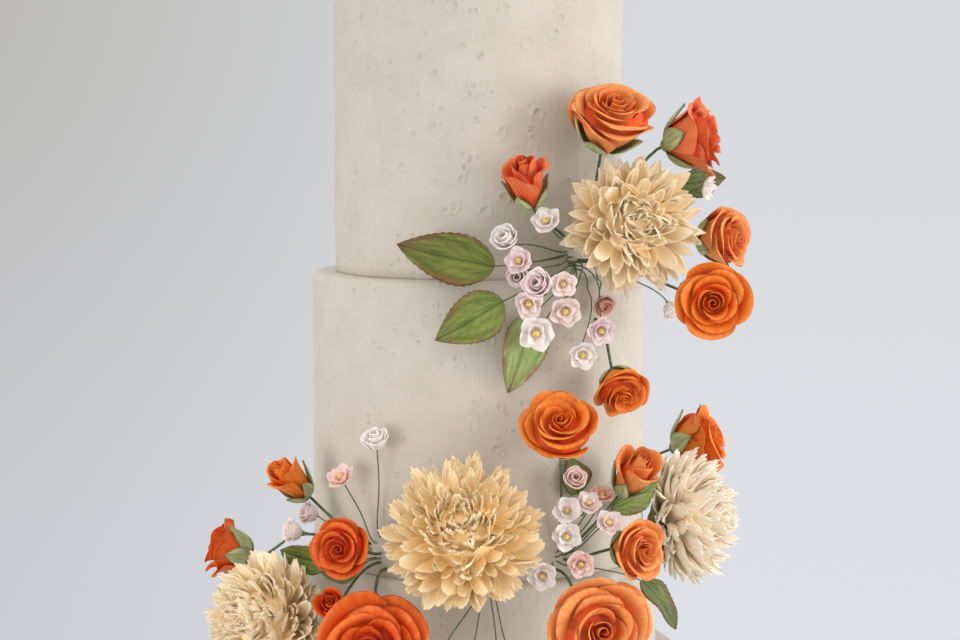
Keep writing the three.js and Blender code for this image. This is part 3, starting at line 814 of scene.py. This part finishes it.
def rose_petal(bm, radius, depth, ring, middle, shoulder, aside, draw):
    """One petal that wraps the flower's axis: its one side tucked in high, its other side lying
    lower over its neighbour, and its lip rolled outwards on both sides of a soft point."""
    width = radians(ring.width) * draw(0.9, 1.12)
    height = ring.height + draw(-0.10, 0.02)
    lip = ring.lip * draw(0.93, 1.06)
    bend = ring.bend + draw(-0.08, 0.08)
    droop = draw(-0.02, 0.18) * ring.lip
    roll = ring.roll * draw(0.5, 1.5)
    peak = draw(-0.4, 0.4)
    point_out = draw(0.08, 0.24) * ring.lip
    ruffle = draw(0.4, 1.1) * 0.05 * ring.lip
    aside = aside + Vector((draw(-STRAY, STRAY), draw(-STRAY, STRAY)))
    waves, phase = draw(3.0, 6.5), draw(0, tau)
    path = [Vector(p) for p in ((0.12, 0.06), (ring.belly * 0.92, 0.04), (ring.belly, bend * height),
                                (lip, height))]
    tone = ring.tone + draw(-0.25, 0.25)
    for vert, a, t in sheet(bm, *PETAL_CELLS, tone):
        along = t * (1 - shoulder * abs(a) ** (4 - 4 * shoulder))
        point, _ = bezier(path, along)
        free = max(0, (along - FREE_FROM) / (1 - FREE_FROM)) ** 2
        off = abs(a - peak)
        wave = ruffle * sin(waves * a + phase) * free
        curl = roll * free * min(1, 1.8 * off)
        sharp = point_out * free * max(0, 1 - 2.5 * off)
        reach = min(point.x + LAP * (0.3 + 0.7 * t) * a + wave + curl + sharp, REACH_LIMIT)
        high = point.y - droop * a * t - 0.7 * curl + 0.6 * sharp + 0.7 * wave * cos(3 * a + phase)
        angle = middle + a * width * (0.5 + 0.5 * sin(pi / 2 * min(1, along / FREE_FROM)))
        x, y = leaned(reach * cos(angle), reach * sin(angle), radius, aside, t)
        vert.co = (x, y, depth * (min(high, 1 - DOME * max(reach, 0) ** 1.5) - 0.5))


def turned(bm, section, radius, depth, aside):
    """A round body from a half section, leaning aside as it rises."""
    section_edges(bm, [(x, 0, y) for x, y in section])
    spin_section(bm, CORE_CELLS)
    for vert in bm.verts:
        x, y = leaned(vert.co.x, vert.co.y, radius, aside, vert.co.z)
        vert.co = (x, y, depth * (vert.co.z - 0.5))


def rose_core(form, radius, depth, aside):
    """The solid core that the petals stand on. It closes the gaps between their lips, and the deep tint it
    is given is painted shade in those gaps.
    """
    bm = new_mesh()
    outer = form.rings[-1]
    section = [(0, 0.98 - SUNK), (form.heart, 0.97 - SUNK)]
    section += [(ring.lip, ring.height - SUNK) for ring in form.rings[:-1] if ring.lip > form.heart]
    section += [(0.86 * outer.belly, 0.45), (0.5 * outer.belly, 0.14), (0, 0.05)]
    turned(bm, section, radius, depth, 0.5 * aside)
    return bm


def tip_over(bm, down, tilt, radius, depth):
    """Lifts the side of an open flower that hangs down, more towards the lips."""
    for vert in bm.verts:
        free = vert.co.z / depth + 0.5
        rise = tilt * depth * vert.co.dot(down) / radius * free
        vert.co.z = min(vert.co.z + rise, (HEIGHT_LIMIT - 0.5) * depth)


SEPALS = 5
SEPAL_THICK = 0.5


def calyx(bm, radius, depth, draw, length, reach, flare):
    """Pointed sepals round the back of a flower, and the swelling under them."""
    for sepal in range(SEPALS):
        middle = tau * sepal / SEPALS + draw(-0.15, 0.15)
        tip_out = draw(0.2, 1.4) * flare
        path = [Vector(p) for p in ((0.08, 0.01), (reach * 0.75, 0.0), (reach, length * 0.6),
                                    (reach + tip_out, length + draw(-0.05, 0.1)))]
        for vert, a, t in sheet(bm, 4, 7):
            point, _ = bezier(path, t)
            width = 0.6 * sin(pi * (0.25 + 0.75 * t)) ** 1.2 + 0.015
            angle = middle + a * width
            out = radius * (point.x + 0.03 - 0.06 * a * a * t)
            vert.co = (out * cos(angle), out * sin(angle), depth * (point.y - 0.5))
    bmesh.ops.solidify(bm, geom=bm.faces[:], thickness=SEPAL_THICK)
    hip = bmesh.ops.create_uvsphere(bm, u_segments=14, v_segments=8, radius=radius * 0.2)["verts"]
    bmesh.ops.translate(bm, verts=hip, vec=(0, 0, -0.5 * depth + 0.1 * radius))


def own_stem(bm, flower, depth, thickness, cells, where, sway=0.0, phase=0.0):
    """The flower's stem, in the flower's own frame, of so many cells round and along."""
    back = -direction(flower.turn, flower.lift)
    start = place(*flower.at) + back * (depth / 2 - 1)
    route = stem_route(start, back, flower.run + 1, flower.hub, flower.at)
    tube(bm, route, where, thickness, *cells, sway, phase)


def finish_green(flower, depth, draw, where, length, reach, flare, steps):
    """A flower's calyx and stem."""
    green = new_mesh()
    calyx(green, flower.size / 2, depth, draw, length, reach, flare)
    own_stem(green, flower, depth, STEM, (8, steps), where)
    finish_piece(flower.name + "_calyx", green, [flower.name], [SEPAL, STEM_GREEN], where)


def rose_petals(form, radius, depth, aside, draw):
    """The rolled heart, and the rings of petals, which stand less off centre further out."""
    bm = new_mesh()
    rolled_heart(bm, radius, depth, form, aside, draw)
    turn = draw(0, tau)
    for number, ring in enumerate(form.rings, 1):
        turn += tau / ring.petals * 0.5 + draw(-0.2, 0.2)
        share = 1 - number / len(form.rings)
        for petal in range(ring.petals):
            middle = turn + tau * petal / ring.petals + draw(-0.16, 0.16)
            rose_petal(bm, radius, depth, ring, middle, form.shoulder, aside * share, draw)
    return bm


def make_rose(flower, seed):
    draw = random.Random(seed).uniform
    form = ROSE_FORMS[flower.form]
    radius = flower.size / 2
    depth = flower.size * form.depth
    where = flower_place(flower, draw(0, tau))
    aside = Vector((OFF_CENTRE * cos(7 * seed), OFF_CENTRE * sin(7 * seed)))
    petals = rose_petals(form, radius, depth, aside, draw)
    core = rose_core(form, radius, depth, aside)
    down = where.inverted().to_3x3() @ Vector((0, -0.5, -1))
    down.z = 0
    down.normalize()
    for part in (petals, core):
        tip_over(part, down, flower.tilt, radius, depth)
    bud = flower.form == "bud"
    look = ROSE_LOOKS[flower.look]
    thicken(finish_piece(flower.name + "_petals", petals, [flower.name], look, where), 0.5, inside=1)
    # The core takes the petals' inner material, whose deep foot tint covers all of it: painted shade deep in
    # the gaps between the lips.
    finish_piece(flower.name + "_core", core, [flower.name], look[1:], where)
    finish_green(flower, depth, draw, where, 0.52 if bud else 0.48, 0.76 if bud else 0.68, 0.2, 10)


# ---- Dahlias: channelled petals in a spiral, each with its shape from a row between two of
# these, round a solid core. A row says where a petal starts and ends, as shares of the flower's
# radius and depth, its breadth, how channelled it is, how far out it bends up, and its tone.
Spread = namedtuple("Spread", "foot rise tip height breadth cup bow tone")
DAHLIA_DEPTH = 0.58
GOLDEN_ANGLE = pi * (3 - sqrt(5))
# From the outermost petals to the innermost.
DAHLIA_ROWS = (
    Spread(0.10, 0.14, 0.74, 0.15, 0.100, 0.35, 0.72, -0.45),
    Spread(0.10, 0.10, 0.92, 0.24, 0.105, 0.50, 0.72, -0.40),
    Spread(0.12, 0.14, 0.98, 0.36, 0.105, 0.55, 0.78, -0.35),
    Spread(0.14, 0.20, 0.97, 0.51, 0.105, 0.60, 0.84, -0.25),
    Spread(0.15, 0.27, 0.88, 0.67, 0.102, 0.60, 0.92, -0.20),
    Spread(0.15, 0.35, 0.74, 0.78, 0.098, 0.60, 0.98, -0.20),
    Spread(0.15, 0.42, 0.58, 0.86, 0.092, 0.60, 1.06, -0.20),
    Spread(0.13, 0.50, 0.42, 0.92, 0.090, 0.60, 1.18, -0.20),
    Spread(0.10, 0.57, 0.28, 0.94, 0.088, 0.60, 1.45, -0.20),
    Spread(0.06, 0.62, 0.15, 0.94, 0.082, 0.60, 1.90, -0.20),
    Spread(0.03, 0.64, 0.06, 0.92, 0.074, 0.60, 2.60, -0.20),
)
# Half the core's section, as shares of the radius and the depth.
DAHLIA_CORE = ((0, 0.77), (0.13, 0.76), (0.25, 0.71), (0.36, 0.61), (0.42, 0.48), (0.42, 0.34),
               (0.3, 0.2), (0, 0.1))
DAHLIA_TOP = 0.955        # the greatest height of a dahlia's petals, as a share of its depth
DAHLIA_FOOT = 0.10        # and the least
TOOTH = 0.10              # how deep the teeth at a dahlia petal's tip are
PLEAT = 0.10              # how deep the grooves along a petal are, as a share of its breadth


def between_rows(rows, share):
    """A row of a table at a share of the way down it."""
    at = share * (len(rows) - 1)
    first = min(int(at), len(rows) - 2)
    part = at - first
    return type(rows[0])(*(a + (b - a) * part for a, b in zip(rows[first], rows[first + 1])))


def blade(bm, path, breadth, cup, middle, outline, cells, tone, lean, twist, ruffle):
    """A narrow petal along a curve: channelled towards the flower's middle by its cup, and
    leaning, twisted and ruffled by a share of its breadth."""
    verts = []
    for vert, a, t in sheet(bm, *cells, tone):
        side, reach = outline(a, t)
        point, way = bezier(path, reach)
        wave = ruffle * sin(9 * t + 20 * twist) * side * abs(side)
        pleat = PLEAT * cos(3 * pi * a) * t
        lift = breadth * (cup * side * side + twist * side * t + wave + pleat)
        across = breadth * side * (1 - 0.25 * cup * side * side) + lean * breadth * t * t
        vert.co = (point.x - way.z * lift, across, point.z + way.x * lift)
        verts.append(vert)
    bmesh.ops.rotate(bm, verts=verts, cent=(0, 0, 0), matrix=Matrix.Rotation(middle, 3, "Z"))


def flat_path(radius, depth, corners):
    """Control points in the plane of a flower's axis, from shares of its radius and depth."""
    return [Vector((x * radius, 0, (y - 0.5) * depth)) for x, y in corners]


def pointed(a, t):
    """Long, broadest beyond the middle, and drawn out to a folded point."""
    width = 0.30 + 0.70 * sin(pi * min(1, 0.08 + 0.62 * t))
    return a * width * (1 - 0.82 * t**6), t - 0.06 * a * a * t**4


def toothed(a, t):
    """Long, broadest beyond the middle, with a ragged tip."""
    width = 0.34 + 0.66 * sin(pi * min(1, 0.08 + 0.60 * t))
    tip = t**6 * (TOOTH * cos(3 * pi * a) - 0.14 * a * a)
    return a * width * (1 - 0.45 * t**6), t * 0.93 + tip


# How many petals, their outline, the least factor of their reach and its limit, and the factor
# of their breadth.
Dahlia = namedtuple("Dahlia", "petals outline shortest longest breadth")
DAHLIA_FORMS = {
    "pointed": Dahlia(210, pointed, 0.84, 0.99, 1.25),
    "toothed": Dahlia(270, toothed, 0.86, 0.99, 1.0),
    "full": Dahlia(250, toothed, 0.90, 0.955, 1.35),
}


def dahlia_petal(bm, radius, depth, row, middle, form, draw):
    """One petal: low at first, then bent up to its tip."""
    tip = min(row.tip * draw(form.shortest, 1.06), form.longest)
    height = max(DAHLIA_FOOT, min(DAHLIA_TOP, row.height + draw(-0.10, 0.05)))
    reach, climb = tip - row.foot, height - row.rise
    path = flat_path(radius, depth, (
        (row.foot, row.rise), (row.foot + 0.5 * reach, row.rise + 0.02 * climb),
        (row.foot + row.bow * reach * draw(0.9, 1.1), row.rise + 0.5 * climb), (tip, height)))
    breadth = radius * row.breadth * form.breadth * draw(0.75, 1.25)
    blade(bm, path, breadth, row.cup * draw(0.2, 1.8), middle, form.outline, (6, 4),
          row.tone + draw(-0.3, 0.3), draw(-1.5, 1.5), draw(-0.8, 0.8),
          draw(0.1, 0.5))


def make_dahlia(flower, seed):
    draw = random.Random(seed).uniform
    radius = flower.size / 2
    depth = flower.size * DAHLIA_DEPTH
    where = flower_place(flower)
    form = DAHLIA_FORMS[flower.form]
    look = DAHLIA_LOOKS[flower.look]
    petals, core = new_mesh(), new_mesh()
    for number in range(form.petals):
        row = between_rows(DAHLIA_ROWS, number / (form.petals - 1))
        middle = number * GOLDEN_ANGLE + draw(-0.18, 0.18)
        dahlia_petal(petals, radius, depth, row, middle, form, draw)
    thicken(finish_piece(flower.name + "_petals", petals, [flower.name], look[:1], where), 0.4)
    turned(core, DAHLIA_CORE, radius, depth, Vector((0, 0)))
    finish_piece(flower.name + "_core", core, [flower.name], look[1:], where)
    finish_green(flower, depth, draw, where, 0.12, 0.4, 0.05, 8)


# ---- Small blossoms: five petals round a yellow button, or a cup of wrapped petals.
OPEN_DEPTH = 0.5          # depths are shares of the size
SHUT_DEPTH = 0.75
# Rings of an open blossom: petals, reach and height of the tip, breadth, and cup.
OPEN_RINGS = ((5, 0.97, 0.66, 0.60, 0.35), (4, 0.58, 0.92, 0.42, 0.6))


def rounded(a, t):
    """Round and broad, with a small notch in the lip."""
    width = 0.3 + 0.7 * sin(pi * min(1, 0.06 + 0.62 * t))
    notch = 0.04 * t**4 * max(0, 1 - 3 * abs(a))
    return a * width * (1 - 0.35 * t**5), t * (1 - 0.26 * abs(a) ** 2.4) - notch


def open_petals(bm, radius, depth, draw):
    """Five broad petals, and four smaller ones that stand up inside them."""
    turn = draw(0, tau)
    for petals, tip, height, breadth, cup in OPEN_RINGS:
        turn += 0.5
        for petal in range(petals):
            out = tip * draw(0.9, 1.0)
            high = height * draw(0.85, 1.08)
            corners = ((0.06, 0.16), (0.45 * tip, 0.08), (out * 0.9, high * 0.5), (out, high))
            blade(bm, flat_path(radius, depth, corners), radius * breadth, cup * draw(0.7, 1.4),
                  turn + tau * petal / petals + draw(-0.12, 0.12), rounded, (5, 5),
                  draw(-0.5, 0.3), draw(-0.2, 0.2), draw(-0.2, 0.2), 0.15)


SHUT_SHOULDER = 0.22
SHUT_RINGS = (
    Ring(3, 84, 0.34, 0.28, 0.97, 0.85, 0.00, 0.30), Ring(4, 70, 0.56, 0.60, 0.92, 1.00, 0.04, 0.00),
    Ring(5, 56, 0.78, 0.92, 0.74, 1.10, 0.06, -0.35),
)


def shut_petals(bm, radius, depth, draw):
    """Rings of petals wrapped as a small rose's are."""
    turn = draw(0, tau)
    for ring in SHUT_RINGS:
        turn += 0.6
        for petal in range(ring.petals):
            middle = turn + tau * petal / ring.petals
            rose_petal(bm, radius, depth, ring, middle, SHUT_SHOULDER, Vector((0, 0)), draw)


def blossom_green(bm, radius, depth):
    """The yellow button in a blossom's middle, and the small green cup behind it."""
    button = bmesh.ops.create_uvsphere(bm, u_segments=12, v_segments=8, radius=radius * 0.17)["verts"]
    bmesh.ops.translate(bm, verts=button, vec=(0, 0, -0.06 * depth))
    paint(button, BUTTON)
    cup = bmesh.ops.create_cone(bm, cap_ends=True, segments=10, radius1=radius * 0.1,
                                radius2=radius * 0.24, depth=depth * 0.2)["verts"]
    bmesh.ops.translate(bm, verts=cup, vec=(0, 0, -0.5 * depth))


def join(whole, part, where):
    """Adds a flower's mesh, put in its place, to that of its piece."""
    bmesh.ops.transform(part, matrix=where, verts=part.verts)
    loose = to_mesh("blossom", part)
    whole.from_mesh(loose)
    bpy.data.meshes.remove(loose)


def make_blossoms(name, flowers, shape, share, seed):
    """Blossoms that are one node: their petals, and their hearts, cups and wires."""
    draw = random.Random(seed).uniform
    petals, green = new_mesh(), new_mesh()
    tints = list(dict.fromkeys(look for *_, look in flowers))
    for at, turn, lift, size, hub, look in flowers:
        flower = Flower(name, at, turn, lift, size, hub, BLOSSOM_RUN)
        where = flower_place(flower)
        own, own_green = new_mesh(), new_mesh()
        shape(own, size / 2, size * share, draw)
        paint(own.verts, tints.index(look))
        blossom_green(own_green, size / 2, size * share)
        own_stem(own_green, flower, size * share, WIRE, (6, 12), where, SWAY, draw(0, tau))
        join(petals, own, where)
        join(green, own_green, where)
    materials = [BLOSSOM_LOOKS[look] for look in tints]
    thicken(finish_piece(name + "_petals", petals, [name], materials), 0.35)
    finish_piece(name + "_wire", green, [name], [BLOSSOM_GREEN, WIRE_GREEN, HEART])


# ---- Leaves: folded along the midrib, waved and serrated along the edges.
LEAF_BROADEST = 0.68      # the lower, the nearer to its foot a leaf is broadest
LEAF_WAVE = 1.1
LEAF_FOLD = 0.3           # how much its halves rise from the midrib
LEAF_CURL = 0.08          # how much its middle rises over its ends, as a share of its length
LEAF_THICK = 0.8
LEAF_RUN = 6
LEAF_VEINS = 7
TEETH = 13


def leaf_place(start, end):
    """The matrix from a leaf's own frame, +X being along it and +Z its face, to the cake's."""
    along = (end - start).normalized()
    outward = Vector((start.x + end.x, start.y + end.y, 0)).normalized()
    across = outward.cross(along).normalized()
    where = Matrix((along, across, along.cross(across))).transposed().to_4x4()
    where.translation = start
    return where, along


def leaf_blade(bm, length, width):
    for vert, a, t in sheet(bm, 12, 4 * TEETH):
        swell = sin(pi * t**LEAF_BROADEST) ** 0.85
        tooth = (TEETH * t) % 1 * abs(a) ** 8
        half = max(0.5 * width * swell, 0.4) * (1 - 0.07 * tooth)
        ribs = 0.12 * cos(tau * (LEAF_VEINS * t - 1.3 * abs(a))) * swell
        midrib = 0.5 * exp(-((a / 0.07) ** 2))
        fold = LEAF_FOLD * half * abs(a)
        wave = LEAF_WAVE * a * sin(3 * pi * t)
        curl = LEAF_CURL * length * sin(pi * t)
        vert.co = (length * t, half * a, fold + wave + curl + ribs - midrib)
    bmesh.ops.solidify(bm, geom=bm.faces[:], thickness=LEAF_THICK)


def make_leaf(name, foot, tip, width, hub, look):
    start, end = place(*foot), place(*tip)
    where, along = leaf_place(start, end)
    bm = new_mesh()
    leaf_blade(bm, (end - start).length, width)
    tube(bm, stem_route(start + 2 * along, -along, LEAF_RUN, hub, foot), where, WIRE, 6, 8)
    finish_piece(name + "_blade", bm, [name], [LEAF_LOOKS[look], WIRE_GREEN], where)


# ---- The room: a pale floor, soft light from the right and a plain pale background.
# Places here are in metres.
LENS = 80.03
EYE = (0.001, -1.2, 0.454)
LOOKS_DOWN = 5.54         # degrees
# Lamps: size, power, place, target and colour.
LAMPS = {
    "key": (1.1, 15.5, (1.5, -0.75, 0.5), (0, 0, 0.33), (1.0, 0.985, 0.96)),
    "fill": (0.9, 7.2, (-1.1, -0.9, 0.12), (0, 0, 0.26), (1.0, 0.98, 0.97)),
}
SKY = (1.22, 1.22, 1.22, 1.0)      # the soft light from above, brighter than the background
FLOOR_RADIUS = 0.6
FLOOR_GAP = 0.0005        # how far under the cake the floor is


def make_camera():
    data = bpy.data.cameras.new("camera")
    data.sensor_width = 36
    data.lens = LENS
    camera = new_object("camera", data)
    camera.location = EYE
    camera.rotation_euler = (radians(90 - LOOKS_DOWN), 0, 0)
    bpy.context.scene.camera = camera


def make_lamp(name, size, power, where, target, color):
    data = bpy.data.lights.new(name, "AREA")
    data.shape = "DISK"
    data.size = size
    data.energy = power
    data.color = color
    lamp = new_object(name, data)
    lamp.location = where
    lamp.rotation_euler = (Vector(target) - Vector(where)).to_track_quat("-Z", "Y").to_euler()


def make_room():
    """A background that is darker at the left and above, and the lamps."""
    world = bpy.data.worlds.new("studio")
    bpy.context.scene.world = world
    world.use_nodes = True
    tree = world.node_tree
    where = add(tree, "ShaderNodeTexCoord").outputs["Generated"]
    way = add(tree, "ShaderNodeSeparateXYZ", {0: where}).outputs
    side = ease(way[0], -0.3, 0.1)
    low = mix(side, "cacbd0", "dee0e5")
    high = mix(side, "b8b7b4", "d8d9dc")
    color = mix(ease(way[2], -0.25, 0.08), low, high)
    color = mix(ease(way[2], 0.15, 0.5), color, SKY)
    tree.links.new(color, tree.nodes["Background"].inputs["Color"])
    tree.nodes["Background"].inputs["Strength"].default_value = 1.0
    for name, lamp in LAMPS.items():
        make_lamp(name, *lamp)


def make_floor():
    bm = bmesh.new()
    bmesh.ops.create_circle(bm, cap_ends=True, radius=FLOOR_RADIUS, segments=96)
    bmesh.ops.translate(bm, verts=bm.verts, vec=(0, 0, -FLOOR_GAP))
    mesh = to_mesh("floor", bm)
    material = new_material("pale_floor")
    tree = material.node_tree
    shader = tree.nodes["Principled BSDF"]
    tree.links.new(mix(noise(own_place(tree), 3.0), "d8dae0", "dee0e6"), shader.inputs["Base Color"])
    shader.inputs["Roughness"].default_value = 0.8
    mesh.materials.append(material)
    new_object("floor", mesh)


# ---- The cake.
bpy.context.scene.view_settings.view_transform = "Standard"
make_camera()
make_room()
make_floor()
foot = 0.0
for seed, (name, size) in enumerate(zip(TIERS, TIER_SIZES)):
    make_tier(name, size, foot, 40 + seed)
    foot = size[2] - RELIEF - CREVICE
for seed, rose in enumerate(ROSES):
    make_rose(rose, 60 + seed)
for seed, dahlia in enumerate(DAHLIAS):
    make_dahlia(dahlia, 90 + seed)
for number, blossom in enumerate(OPEN_BLOSSOMS, 1):
    make_blossoms(f"blossom_open_{number}", [blossom], open_petals, OPEN_DEPTH, 100 + number)
for number, blossom in enumerate(SHUT_BLOSSOMS, 1):
    make_blossoms(f"blossom_shut_{number}", [blossom], shut_petals, SHUT_DEPTH, 200 + number)
make_blossoms("blossom_spray", SPRAY, open_petals, OPEN_DEPTH, 300)
for leaf in LEAVES:
    make_leaf(*leaf)
